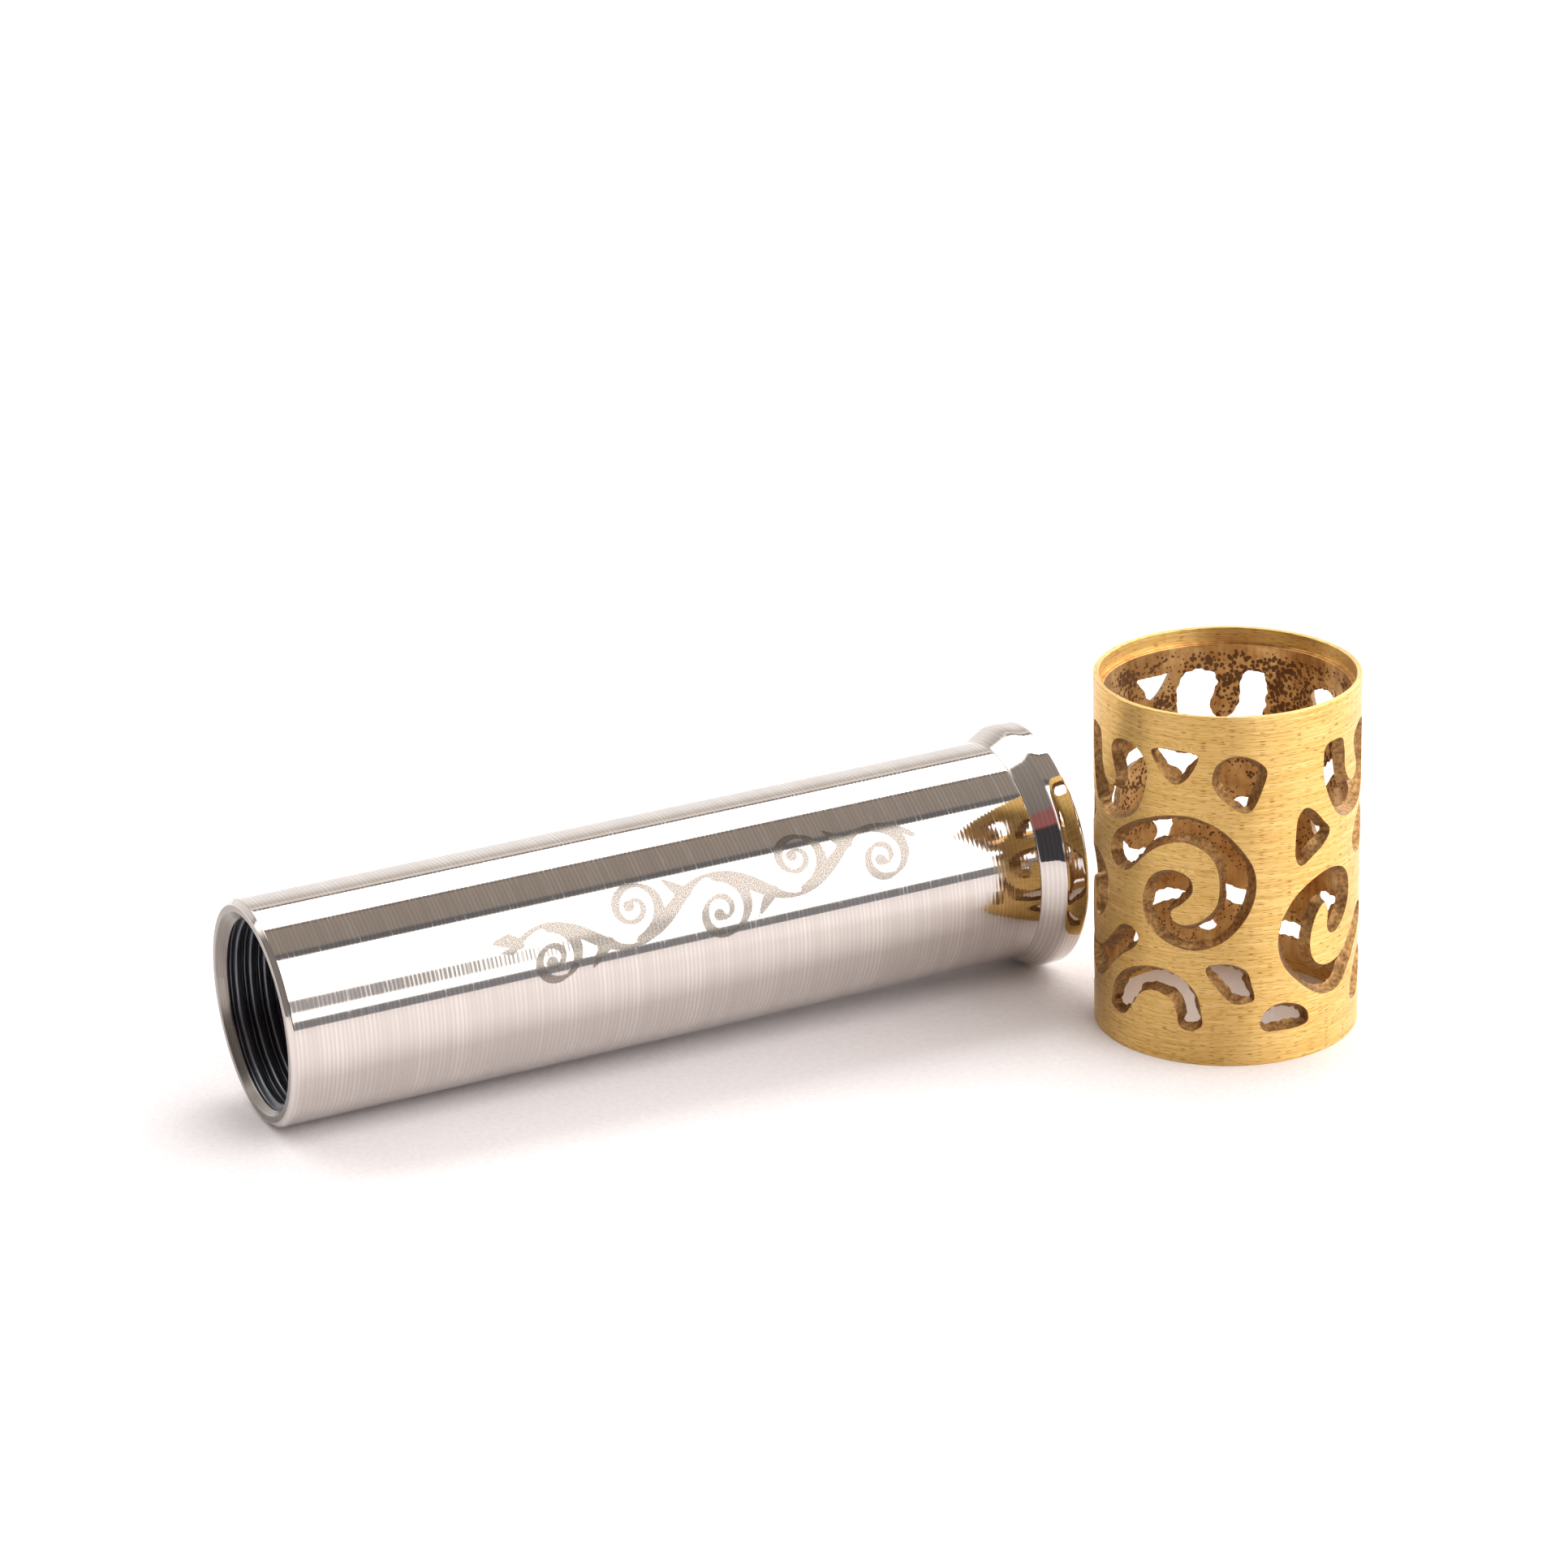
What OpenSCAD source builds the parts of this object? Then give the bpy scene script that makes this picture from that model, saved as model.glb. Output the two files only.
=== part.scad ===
// Steel screw capsule with a flared end cap, and the pierced brass sleeve that goes over it.
// Millimetres. The capsule lies on its side along +X (mouth at -X), the sleeve stands on end.
// Z = 0 is the table. The sleeve's axis is the Z axis of this frame.

/* [Capsule] */
// outside diameter of the steel barrel
barrel_d = 23.1; // [22:0.1:24.4]
// overall length of the capsule, mouth face to cap face
capsule_len = 87.1; // [70:0.1:110]
// length of the flared head of the end cap
head_len = 5.1; // [4:0.1:8]
// outside diameter of the flare's land
flare_d = 25.8; // [25:0.1:25.8]
// length of the flare's straight land
land_len = 2.7; // [2:0.1:4]
// crest diameter of the open mouth's M20 x 1.5 thread
mouth_d = 18.7; // [18.4:0.05:18.8]
// crest diameter of the thread that holds the end cap
cap_bore_d = 18.34; // [18.3:0.02:18.36]
// relieved bore between the two threads
room_d = 19.2; // [18.8:0.1:19.6]
// full diameter of the internal threads
thread_d = 20.0; // [19.6:0.1:20.4]
// pitch of both threads
pitch = 1.5; // [1:0.25:2]
// number of full thread grooves at each end of the barrel
turns = 6; // [4:1:7]
// depth of the 45 degree countersink at the mouth
sink = 1.0; // [0.6:0.1:1.2]
// depth of the 45 degree countersink that seats the ring at the cap's end
cap_sink = 1.2; // [1.1:0.1:1.4]
// chamfer on the barrel's outside edges
edge = 0.5; // [0.2:0.1:0.8]

/* [End cap] */
// length of the screwed spigot behind the head
spigot_len = 9.0; // [7:0.5:12]
// spigot diameter, running clearance in the barrel's crests
spigot_d = 18.24; // [18.1:0.02:18.34]
// neck diameter under the seal ring
neck_d = 16.96; // [16.6:0.02:17.2]
// length of that neck
neck_len = 1.5; // [1.2:0.1:2]
// rounding of the flare's end edge
flare_round = 0.6; // [0.3:0.1:1]

/* [Seal ring] */
// thickness of the round-section ring
ring_t = 1.0; // [0.9:0.05:1.1]
// inside diameter of the ring
ring_id = 17.0; // [16.8:0.05:17.2]

/* [Sleeve] */
// outside diameter of the brass sleeve
sleeve_d = 27.0; // [26.6:0.1:28]
// height of the sleeve
sleeve_h = 37.4; // [34:0.1:42]
// main bore of the sleeve
sleeve_bore = 24.9; // [24:0.1:25.2]
// counterbore at each end, takes the flare
socket_d = 25.9; // [25.5:0.05:26.2]
// depth of each counterbore
socket_deep = 1.6; // [1.2:0.1:3]
// straight steps between two chosen points of a pierced outline
steps = 2; // [1:1:4]

/* [Layout] */
// how far the flare's end face stands short of the sleeve's axis along X
gap_x = 10.24; // [9:0.1:20]
// distance from the sleeve's axis to the capsule's axis along Y
gap_y = 22.83; // [22.5:0.1:30]
// direction of the sleeve's front, degrees from +X
front = -120; // [-180:1:180]

/* [Hidden] */
$fn = 96;
ro = sleeve_d / 2;
rb = barrel_d / 2;
rf = flare_d / 2;
barrel_len = capsule_len - head_len;
cone_len = head_len - land_len;
rest_x = barrel_len + cone_len;
tilt = atan((rf - rb) / (rest_x - edge));
lift = (rb - edge * tan(tilt)) * cos(tilt);
mouth_x = -gap_x - capsule_len * cos(tilt);
th_flat = pitch / 8;
thread_len = sink + (turns + 1) * pitch + 1.1;

// closed smooth curve through chosen points
function cr(a, b, c, d, t) = 0.5 * (2 * b + (c - a) * t
    + (2 * a - 5 * b + 4 * c - d) * t * t + (3 * b - a - 3 * c + d) * t * t * t);
function smooth(p, n) = [for (i = [0 : len(p) - 1]) for (k = [0 : n - 1])
    cr(p[(i + len(p) - 1) % len(p)], p[i], p[(i + 1) % len(p)], p[(i + 2) % len(p)], k / n)];
// arc length round the sleeve turned to the distance across a flat cut
function flat_cut(p, mid) = [for (q = p) [ro * sin((q[0] - mid) / ro * 180 / PI), q[1]]];
// quarter round from angle a to b about a centre
function bend(cx, cy, r, a, b, n) = [for (i = [0 : n]) let (t = a + (b - a) * i / n)
    [cx + r * cos(t), cy + r * sin(t)]];

// Pierced outlines: arc length from the front line, height above the table.
hooked = [[10.6, 31.3], [10.9, 32.9], [12.2, 33.25], [13.6, 33.0], [14.05, 31.6],
    [14.2, 29.7], [15.1, 28.2], [16.4, 27.95], [17.0, 29.1], [16.5, 30.6],
    [16.15, 31.8], [16.8, 32.9], [18.4, 33.4], [20.3, 32.9], [21.4, 31.3],
    [21.3, 29.2], [20.5, 26.9], [19.3, 25.5], [17.2, 24.6], [14.8, 24.4],
    [12.9, 25.2], [11.6, 27.1], [10.8, 29.3]];
wedge = [[-7.9, 33.2], [-6.4, 33.6], [-4.2, 33.6], [-2.85, 33.2], [-3.2, 32.0],
    [-4.1, 30.6], [-5.2, 30.0], [-6.4, 30.6], [-7.4, 31.9]];
pebble = [[-1.45, 30.9], [-0.9, 32.5], [0.7, 33.35], [2.6, 33.0], [4.0, 31.7],
    [3.6, 29.8], [2.7, 27.8], [1.7, 27.3], [0.1, 28.3], [-1.1, 29.6]];
kite = [[7.45, 26.1], [8.3, 27.0], [9.4, 26.5], [10.7, 25.1], [11.65, 23.9],
    [10.9, 22.7], [9.2, 21.6], [7.9, 20.9], [7.2, 21.9], [7.2, 24.1]];
big_curl = [[-13.9, 21.3], [-13.1, 22.9], [-11.4, 24.3], [-8.8, 25.7], [-6.0, 26.6],
    [-3.2, 26.7], [-0.5, 25.5], [1.6, 23.3], [2.85, 21.0], [2.9, 18.3],
    [1.8, 15.7], [-0.3, 13.5], [-3.0, 12.45], [-5.8, 12.8], [-8.0, 14.1],
    [-8.95, 16.0], [-8.7, 18.3], [-7.5, 20.1], [-5.5, 20.85], [-3.7, 20.2],
    [-3.4, 18.7], [-4.5, 17.3], [-5.6, 16.4], [-5.4, 15.4], [-4.1, 15.1],
    [-2.4, 15.8], [-1.0, 17.3], [-0.65, 19.5], [-1.0, 21.7], [-2.2, 23.2],
    [-4.2, 23.95], [-6.4, 23.4], [-8.2, 22.2], [-9.7, 20.7], [-11.1, 19.5],
    [-12.6, 19.4], [-13.6, 20.2]];
small_curl = [[6.2, 16.3], [7.3, 17.8], [9.3, 19.1], [11.6, 19.7], [13.8, 19.2],
    [15.1, 17.8], [15.3, 15.8], [14.6, 14.1], [13.3, 12.8], [12.1, 12.55],
    [11.4, 13.4], [11.5, 15.0], [11.0, 16.2], [10.0, 15.4], [9.3, 13.8],
    [9.1, 11.8], [9.7, 10.2], [11.1, 9.4], [12.9, 9.5], [14.4, 10.3],
    [16.0, 11.8], [17.4, 13.2], [18.9, 13.6], [20.0, 12.8], [19.6, 11.5],
    [17.6, 10.0], [15.6, 8.1], [13.8, 6.5], [11.8, 6.1], [9.7, 6.8],
    [7.7, 8.4], [6.0, 10.4], [5.35, 12.6], [5.5, 14.7]];
arch = [[-13.8, 4.6], [-13.2, 6.6], [-11.9, 8.2], [-9.8, 9.45], [-7.2, 10.0],
    [-4.7, 9.4], [-3.0, 7.8], [-2.45, 5.8], [-2.4, 4.3], [-3.5, 3.65],
    [-4.7, 4.0], [-5.05, 5.5], [-5.8, 6.9], [-7.6, 7.35], [-9.2, 6.7],
    [-10.3, 5.2], [-11.4, 3.8], [-12.7, 3.5], [-13.6, 3.9]];
low_pebble = [[-2.0, 10.5], [-1.2, 11.05], [0.6, 11.1], [2.1, 10.3], [2.6, 8.8],
    [2.9, 7.3], [2.2, 6.85], [0.7, 6.85], [-0.4, 7.9], [-1.6, 9.4]];
half_moon = [[3.5, 4.6], [4.2, 5.9], [5.6, 6.45], [7.4, 6.1], [8.7, 5.1],
    [8.9, 3.9], [7.7, 3.5], [5.6, 3.5], [4.0, 3.65]];
// Each outline, its own middle, and how far round the sleeve each of its three copies sits.
WINDOWS = [[hooked, 15.5, [0, 27.1, 54.93]], [wedge, -5.3, [0, 29.85, 56.7]],
    [pebble, 1.3, [0, 28.65, 56.8]], [kite, 9.4, [0, 28.3, 55.13]],
    [big_curl, -5.4, [0, 30, 57.1]], [small_curl, 12, [0, 28.3, 55.23]],
    [arch, -8, [0, 29.8, 57.0]], [low_pebble, 0.5, [0, 29, 57.0]],
    [half_moon, 6.2, [0, 28.6, 56.3]]];

// put a turned piece, drawn along +Z from the mouth, into its lying place
module lying() {
    translate([mouth_x, gap_y, lift])
        rotate([0, -tilt, 0])
        rotate([0, 90, 0])
        children();
}

// one 60 degree thread groove cut outwards from a crest radius at height z
module groove(z, rc) {
    wide = th_flat / 2 + (thread_d / 2 - rc) * tan(30);
    rotate_extrude()
        polygon([[rc - 1, z - wide], [rc, z - wide], [thread_d / 2, z - th_flat / 2],
            [thread_d / 2, z + th_flat / 2], [rc, z + wide], [rc - 1, z + wide]]);
}

// turned steel tube, threaded inside at both ends
module barrel() {
    ra = mouth_d / 2;
    rc = cap_bore_d / 2;
    rr = room_d / 2;
    color([0.74, 0.74, 0.75])
        lying()
        difference() {
            rotate_extrude()
                polygon([[ra, sink], [ra + sink, 0], [rb - edge, 0], [rb, edge],
                    [rb, barrel_len], [rc + cap_sink, barrel_len], [rc, barrel_len - cap_sink],
                    [rc, barrel_len - thread_len], [rr, barrel_len - thread_len - 0.4],
                    [rr, thread_len + 0.3], [ra, thread_len]]);
            for (i = [0 : turns])
                groove(sink + (i + 1) * pitch, ra);
            for (i = [0 : turns])
                groove(barrel_len - cap_sink - (i + 1) * pitch, rc);
        }
}

// turned steel end cap: flared head, sealing neck and screwed spigot
module flared_cap() {
    rs = spigot_d / 2;
    nose = barrel_len - spigot_len;
    color([0.72, 0.72, 0.73])
        lying()
        difference() {
            rotate_extrude()
                polygon(concat([[0, nose], [rs - 0.6, nose], [rs, nose + 0.6],
                    [rs, barrel_len - neck_len], [neck_d / 2, barrel_len - neck_len],
                    [neck_d / 2, barrel_len], [rb, barrel_len], [rf, barrel_len + cone_len]],
                    bend(rf - flare_round, capsule_len - flare_round, flare_round, 0, 90, 4),
                    [[0, capsule_len]]));
            for (z = [nose + 1.5 : pitch : barrel_len - neck_len - 0.9])
                rotate_extrude()
                    polygon([[rs + 1, z - 0.45], [rs, z - 0.45], [rs - 0.45, z - 0.1],
                        [rs - 0.45, z + 0.1], [rs, z + 0.45], [rs + 1, z + 0.45]]);
        }
}

// rubber ring round the cap's neck, in the barrel's countersink
module seal_ring() {
    color([0.1, 0.1, 0.1])
        lying()
        translate([0, 0, barrel_len - ring_t / 2 - 0.01])
        rotate_extrude()
        translate([ring_id / 2 + ring_t / 2, 0])
        circle(d = ring_t, $fn = 40);
}

// one pierced window cut straight through the sleeve's wall
module window(outline, mid, shift) {
    rotate([0, 0, front + (mid + shift) / ro * 180 / PI])
        translate([8, 0, 0])
        rotate([90, 0, 90])
        linear_extrude(height = 8)
        polygon(flat_cut(smooth(outline, steps), mid));
}

// pierced brass sleeve
module pierced_sleeve() {
    rs = socket_d / 2;
    ri = sleeve_bore / 2;
    color([0.78, 0.62, 0.34])
        difference() {
            rotate_extrude()
                polygon([[ri, socket_deep], [rs, socket_deep], [rs, 0], [ro - 0.1, 0],
                    [ro, 0.1], [ro, sleeve_h - 0.1], [ro - 0.1, sleeve_h],
                    [rs, sleeve_h], [rs, sleeve_h - socket_deep],
                    [ri, sleeve_h - socket_deep]]);
            for (w = WINDOWS)
                for (s = w[2])
                    window(w[0], w[1], s);
        }
}

barrel();
flared_cap();
seal_ring();
pierced_sleeve();
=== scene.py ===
"""Looks of a turned steel screw capsule and its pierced brass sleeve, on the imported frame.

Shapes are worked out in millimetres and put into the meshes in metres. The capsule's own line
runs from the middle of its mouth along the barrel; the sleeve stands on the frame's Z axis.
"""

import math
from functools import partial

import bpy
import numpy as np
from mathutils import Matrix, Vector
from mathutils.geometry import delaunay_2d_cdt


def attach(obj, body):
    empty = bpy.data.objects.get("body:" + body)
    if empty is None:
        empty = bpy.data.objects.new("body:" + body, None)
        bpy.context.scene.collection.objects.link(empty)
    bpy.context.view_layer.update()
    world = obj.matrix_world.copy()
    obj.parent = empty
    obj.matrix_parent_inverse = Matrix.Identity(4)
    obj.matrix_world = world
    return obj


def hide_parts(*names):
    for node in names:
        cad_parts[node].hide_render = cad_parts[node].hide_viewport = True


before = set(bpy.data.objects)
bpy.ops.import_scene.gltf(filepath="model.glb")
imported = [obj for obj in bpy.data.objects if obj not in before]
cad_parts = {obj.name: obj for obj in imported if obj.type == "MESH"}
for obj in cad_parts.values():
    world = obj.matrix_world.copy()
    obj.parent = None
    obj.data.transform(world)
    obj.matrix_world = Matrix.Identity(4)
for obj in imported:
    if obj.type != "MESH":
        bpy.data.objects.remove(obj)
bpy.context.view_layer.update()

MM = 0.001

# ---- sizes, in millimetres, the same as the part's ----
BARREL_R = 11.55
BARREL_LEN = 82.0
CAPSULE_LEN = 87.1
FLARE_R = 12.9
LAND_FROM = 84.4
EDGE = 0.5
MOUTH_CREST = 9.35
CAP_CREST = 9.17
ROOM_R = 9.6
MOUTH_SINK = 1.0
CAP_SINK = 1.2
PITCH = 1.5
THREAD_R = 10.0
THREAD_LEN = 12.6
SPIGOT_R = 9.12
SPIGOT_FROM = 73.0
NECK_R = 8.48
NECK_FROM = 80.5
SLEEVE_R = 13.5
SLEEVE_H = 37.4
BORE_R = 12.45
SOCKET_R = 12.95
SOCKET_DEEP = 1.6

# ---- sizes and counts of the finer looks ----
FLARE_ROUND = 0.7
SPIGOT_ROOT = 8.4
SPIGOT_GROOVE = 0.5
CAPSULE_COLUMNS = 224
SLEEVE_COLUMNS = 300
SLEEVE_SEED = 11
LOOP_SPACING = 0.24
WALL_TAPER = 0.66
STEEP_TAPER = 0.25
SCROLL_LEN = 46.0
SCROLL_FROM_MOUTH = 46.0
SCROLL_CURLS = 5
FAR_FROM_SCROLL = 5.0

# ---- where the pieces lie: the sleeve's front line, and the capsule's own line ----
FRONT = math.radians(-120)
TILT = math.atan((FLARE_R - BARREL_R) / (LAND_FROM - EDGE))
LIFT = (BARREL_R - EDGE * math.tan(TILT)) * math.cos(TILT)
MOUTH = np.array([-10.24 - CAPSULE_LEN * math.cos(TILT), 22.83, LIFT])
ALONG = np.array([math.cos(TILT), 0.0, math.sin(TILT)])
ACROSS = np.array([0.0, 1.0, 0.0])
UPWARD = np.array([-math.sin(TILT), 0.0, math.cos(TILT)])


def colour(code):
    """Linear colour with alpha from an sRGB hex code."""
    parts = [int(code[i:i + 2], 16) / 255 for i in (1, 3, 5)]
    linear = [c / 12.92 if c <= 0.04045 else ((c + 0.055) / 1.055) ** 2.4 for c in parts]
    return (*linear, 1.0)


def add(tree, kind, inputs, **settings):
    """Adds one shader node, sets its properties, and sets or links its inputs. A node given as
    an input is linked from its first output in use."""
    made = tree.nodes.new("ShaderNode" + kind)
    for name, value in settings.items():
        setattr(made, name, value)
    for name, value in inputs.items():
        if isinstance(value, bpy.types.Node):
            value = next(end for end in value.outputs if end.enabled)
        if isinstance(value, bpy.types.NodeSocket):
            tree.links.new(value, made.inputs[name])
        else:
            made.inputs[name].default_value = value
    return made


# ---- meshes ----
def mesh_piece(name, points, faces, uv, finishes, finish_of, body, node):
    """One closed mesh piece: points in mm, faces as lists of indices, uv per face corner in mm."""
    mesh = bpy.data.meshes.new(name)
    mesh.from_pydata((points * MM).tolist(), [], faces)
    mesh.polygons.foreach_set("use_smooth", np.ones(len(faces), bool))
    mesh.polygons.foreach_set("material_index", np.asarray(finish_of, np.int32))
    layer = mesh.uv_layers.new(name="around_along")
    layer.data.foreach_set("uv", (np.asarray(uv, np.float32) * MM).ravel())
    for finish in finishes:
        mesh.materials.append(finish)
    mesh.update()
    piece = bpy.data.objects.new(name, mesh)
    bpy.context.scene.collection.objects.link(piece)
    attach(piece, body)
    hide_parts(node)
    return piece


def eased(corners, ease):
    """A turned profile with each corner replaced by a quadratic curve between two points set
    back by ease, one value or one a corner, and a supporting point a little further back on
    each side so that long faces keep true normals."""
    corners = np.asarray(corners, float)
    rows = [corners[:1]]
    each = np.broadcast_to(ease, len(corners) - 2)
    for a, b, c, e in zip(corners[:-2], corners[1:-1], corners[2:], each):
        back = (a - b) / np.linalg.norm(a - b)
        ahead = (c - b) / np.linalg.norm(c - b)
        e = min(e, 0.35 * np.linalg.norm(a - b), 0.35 * np.linalg.norm(c - b))
        u = np.linspace(0, 1, 5)[:, None]
        p, q = b + back * e, b + ahead * e
        curve = (1 - u) ** 2 * p + 2 * u * (1 - u) * b + u ** 2 * q
        rows += [[b + back * e * 1.4], curve, [b + ahead * e * 1.4]]
    return np.vstack(rows + [corners[-1:]])


def groove_depth(x, angle, start, crest, root):
    """Depth of a right-handed 60 degree thread groove cut into a crest: distance along the
    line, less one pitch a turn of angle, folded to the nearest groove's middle; the depth
    falls from the flat root at 30 degrees a side."""
    turn = np.abs(((x - start) / PITCH - angle / (2 * np.pi)) % 1.0 - 0.5) * PITCH
    deep = abs(root - crest)
    return np.clip((PITCH / 16 + deep * math.tan(math.radians(30)) - turn) / 0.577, 0, deep)


def fade(x, a, b):
    """Straight ramp from 0 at a to 1 at b, held outside."""
    return np.clip((x - a) / (b - a), 0, 1)


def capsule_point(radius, x, angle):
    """Point at a distance x along the capsule's line, radius from it, at an angle round it."""
    radius, x, angle = np.broadcast_arrays(radius, x, angle)
    flat = radius[..., None] * (np.cos(angle)[..., None] * ACROSS
                                + np.sin(angle)[..., None] * UPWARD)
    return MOUTH + x[..., None] * ALONG + flat


def grid_quads(rows, columns, close_rows):
    """Quads of a grid whose columns close on themselves, and its rows too if asked, with the
    (row, column) of each corner before closing."""
    last = rows if close_rows else rows - 1
    i, j = np.meshgrid(np.arange(last), np.arange(columns), indexing="ij")
    i, j = i.ravel(), j.ravel()
    corner_i = np.stack([i, i, i + 1, i + 1], 1)
    corner_j = np.stack([j, j + 1, j + 1, j], 1)
    quads = (corner_i % rows) * columns + corner_j % columns
    return quads, corner_i, corner_j


def outward(points, faces):
    """True if the closed mesh of quads encloses a positive volume, its faces looking out."""
    p = points - points.mean(0)
    a, b, c, d = (p[faces[:, k]] for k in range(4))
    first = np.einsum("ij,ij->i", a, np.cross(b, c)).sum()
    second = np.einsum("ij,ij->i", a, np.cross(c, d)).sum()
    return first + second > 0


def scroll_strokes():
    """Sample points (along, around, half width) of the plain engraved scroll: a wavy stem with
    a curl wound in from each crest as a shrinking circle, and a small drop-shaped leaf behind
    each curl. A pen's width runs through it, broad on the rise and thin on the turns."""
    u = np.linspace(0, 1, 900)
    wave = SCROLL_CURLS * np.pi * u
    stem = np.stack([SCROLL_LEN * (u - 0.5), 2.3 * np.sin(wave),
                     0.22 + 0.5 * np.cos(wave) ** 2 * np.sin(np.pi * u) ** 0.5], 1)
    strokes = [stem]
    v = np.linspace(0, 1, 320)
    for k in range(SCROLL_CURLS):
        side = 1 if k % 2 == 0 else -1
        crest = SCROLL_LEN * ((k + 0.5) / SCROLL_CURLS - 0.5)
        size = 3.5 - 0.2 * abs(k - 2)
        turn = 3.3 * np.pi * v
        radius = size * (1 - 0.86 * v ** 0.8)
        x = crest + 0.6 + radius * np.sin(turn)
        y = side * (1.9 - 2 * size * 0.5 + radius * np.cos(turn))
        pen = 0.2 + 0.42 * (1 - v) * np.abs(np.sin(turn + 0.5))
        strokes.append(np.stack([x, y, pen], 1))
        strokes.append(np.array([[x[-1], y[-1], 0.6]]))
        leaf = np.linspace(0, 1, 80)
        lx = crest - 2.3 - 2.6 * leaf
        ly = side * (1.0 + 2.4 * leaf ** 1.4)
        strokes.append(np.stack([lx, ly, 0.55 * np.sin(np.pi * leaf ** 0.7) + 0.03], 1))
    return np.vstack(strokes)


def scroll_distance(along, around):
    """Distance in mm from each point to the edge of the nearest scroll stroke, less than zero
    inside it, and one large value away from the scroll. The scroll's own line rises a little
    round the barrel as it goes along."""
    s = along - SCROLL_FROM_MOUTH
    t = around - (0.56 * BARREL_R + 0.08 * s)
    near = (np.abs(s) < SCROLL_LEN / 2 + 3) & (np.abs(t) < 9)
    s, t = s[near], t[near]
    close = np.full(s.shape, FAR_FROM_SCROLL)
    for chunk in np.array_split(scroll_strokes(), 24):
        gap = np.hypot(s[:, None] - chunk[:, 0], t[:, None] - chunk[:, 1]) - chunk[:, 2]
        close = np.minimum(close, gap.min(1))
    distance = np.full(near.shape, FAR_FROM_SCROLL)
    distance[near] = close
    return distance


def make_barrel(finishes):
    """Barrel: a closed profile turned round the capsule's line. Rows in the threads take the
    larger of the bore's plain radius and the crest radius plus the helical groove's depth. The
    outside has close rows where the scroll is."""
    n = CAPSULE_COLUMNS
    outside = eased([[10.9, 0], [BARREL_R - EDGE, 0], [BARREL_R, EDGE], [BARREL_R, BARREL_LEN],
                     [11.0, BARREL_LEN]], 0.07)[1:-1]
    long_rows = np.arange(24.0, 71.0, 0.3)
    keep = np.searchsorted(outside[:, 1], long_rows[0])
    body = np.stack([np.full(long_rows.shape, BARREL_R), long_rows], 1)
    outside = np.vstack([outside[:keep], body, outside[keep:]])
    cap_face = eased([[11.0, BARREL_LEN], [CAP_CREST + CAP_SINK, BARREL_LEN],
                      [CAP_CREST + CAP_SINK - 0.4, BARREL_LEN - 0.4]], 0.05)
    cap_x = np.arange(BARREL_LEN - 0.5, BARREL_LEN - THREAD_LEN, -0.2)
    cap_cone = np.maximum(CAP_CREST, CAP_CREST + CAP_SINK - (BARREL_LEN - cap_x))
    mouth_x = np.arange(THREAD_LEN, 0.05, -0.1)
    mouth_cone = np.maximum(MOUTH_CREST, MOUTH_CREST + MOUTH_SINK - mouth_x)
    room = np.array([[CAP_CREST, BARREL_LEN - THREAD_LEN], [ROOM_R, BARREL_LEN - THREAD_LEN - 0.4],
                     [ROOM_R, 60.0], [ROOM_R, 41.0], [ROOM_R, 22.0], [ROOM_R, THREAD_LEN + 0.3]])
    lip = eased([[MOUTH_CREST + MOUTH_SINK - 0.1, 0.1], [MOUTH_CREST + MOUTH_SINK, 0.0],
                 [10.9, 0]], 0.05)
    plain = np.vstack([outside, cap_face, np.stack([cap_cone, cap_x], 1), room,
                       np.stack([mouth_cone, mouth_x], 1), lip[1:]])
    r, x = plain[:, 0], plain[:, 1]
    first_bore = len(outside) + len(cap_face) - 3
    angle = np.arange(n) * 2 * np.pi / n
    grid_x, grid_a = np.meshgrid(x, angle, indexing="ij")
    inside = np.arange(len(x)) >= first_bore
    cap_cut = fade(grid_x, BARREL_LEN - THREAD_LEN, BARREL_LEN - THREAD_LEN + 1)
    mouth_cut = 1 - fade(grid_x, THREAD_LEN - 1, THREAD_LEN)
    cap_thread = CAP_CREST + cap_cut * groove_depth(grid_x, grid_a, 0.3, CAP_CREST, THREAD_R)
    mouth_thread = MOUTH_CREST + mouth_cut * groove_depth(grid_x, grid_a, 0.6, MOUTH_CREST,
                                                          THREAD_R)
    thread = np.where(grid_x > 40, cap_thread, mouth_thread)
    radius = np.where(inside[:, None], np.maximum(r[:, None], thread), r[:, None])
    points = capsule_point(radius, grid_x, grid_a).reshape(-1, 3)
    quads, ci, cj = grid_quads(len(x), n, True)
    if not outward(points, quads):
        quads, ci, cj = quads[:, ::-1], ci[:, ::-1], cj[:, ::-1]
    lengths = np.concatenate([[0], np.cumsum(np.hypot(np.diff(r), np.diff(x)))])
    lengths[:len(outside)] = x[:len(outside)]
    lengths = np.append(lengths, lengths[-1] + 0.5)
    uv = np.stack([cj * 2 * np.pi / n * BARREL_R, lengths[ci]], 2)
    face_row = ci.min(1)
    finish_of = (face_row >= first_bore + 2).astype(int)
    finish_of[face_row >= len(x) - len(lip) - 9] = 2
    mesh = mesh_piece("barrel_tube", points, quads.tolist(), uv, finishes, finish_of,
                      "barrel", "barrel").data
    around = (np.pi - grid_a.ravel()) * BARREL_R
    distance = scroll_distance(grid_x.ravel(), around)
    distance[np.repeat(inside, n)] = FAR_FROM_SCROLL
    layer = mesh.attributes.new("scroll_mm", "FLOAT", "POINT")
    layer.data.foreach_set("value", distance.astype(np.float32))


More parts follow.
